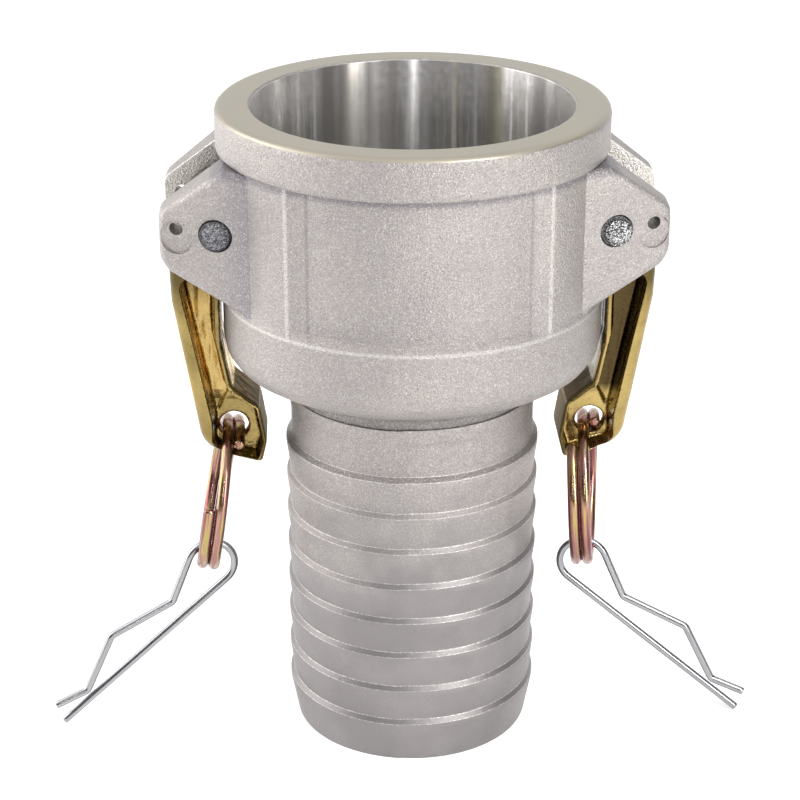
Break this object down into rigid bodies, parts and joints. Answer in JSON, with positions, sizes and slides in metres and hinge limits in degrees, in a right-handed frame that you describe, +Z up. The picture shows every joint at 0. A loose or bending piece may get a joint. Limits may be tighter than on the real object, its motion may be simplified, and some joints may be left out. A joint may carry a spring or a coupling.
{
  "type": "cam and groove hose coupler",
  "caption": "Female cam and groove hose coupler: a gasketed socket with hinged cam arms, finger rings and safety clips above a barbed hose shank.",
  "frame": {"origin": "on the bore axis, in the plane that holds both cam arm pivots", "axes": "+Z up along the bore axis, out of the socket's mouth; the cam arms lie on +X and -X; the pictured front faces -Y"},
  "size_m": [0.1486, 0.0778, 0.135],
  "materials": {
    "cast_aluminium": "fine sand cast, machined at the rim and in the bore",
    "nitrile_rubber": "moulded, matt",
    "pin_steel": "turned, knurled ends",
    "forged_brass": "forged and tumbled, soft shine",
    "ring_steel": "yellow passivated zinc plate with pink and gold tints",
    "clip_steel": "bright zinc plated spring wire"
  },
  "bodies": {
    "coupler": {"coupler_body": "cast_aluminium", "gasket": "nitrile_rubber", "pivot_pin_left": "pin_steel", "pivot_pin_right": "pin_steel"},
    "left_arm": {"cam_arm_left": "forged_brass"},
    "right_arm": {"cam_arm_right": "forged_brass"},
    "left_ring": {"split_ring_left": "ring_steel"},
    "right_ring": {"split_ring_right": "ring_steel"},
    "left_clip": {"safety_clip_left": "clip_steel"},
    "right_clip": {"safety_clip_right": "clip_steel"}
  },
  "joints": [
    {"name": "left_arm_pivot", "type": "hinge", "parent": "coupler", "child": "left_arm", "pos_m": [-0.0386, 0, 0], "axis": [0, 1, 0], "range_deg": [0, 110]},
    {"name": "right_arm_pivot", "type": "hinge", "parent": "coupler", "child": "right_arm", "pos_m": [0.0386, 0, 0], "axis": [0, -1, 0], "range_deg": [0, 110]},
    {"name": "left_ring_swing", "type": "hinge", "parent": "left_arm", "child": "left_ring", "pos_m": [-0.0368, 0, -0.0469], "axis": [0, 1, 0], "range_deg": [-15, 68]},
    {"name": "right_ring_swing", "type": "hinge", "parent": "right_arm", "child": "right_ring", "pos_m": [0.0368, 0, -0.0469], "axis": [0, -1, 0], "range_deg": [-6, 78]},
    {"name": "left_clip_swing", "type": "hinge", "parent": "left_ring", "child": "left_clip", "pos_m": [-0.04269, -0.00001, -0.07982], "axis": [-0.2351, 0.972, 0], "range_deg": [-31, 70]},
    {"name": "right_clip_swing", "type": "hinge", "parent": "right_ring", "child": "right_clip", "pos_m": [0.03682, 0.00014, -0.08093], "axis": [-0.2351, -0.972, 0], "range_deg": [-42, 59]}
  ]
}
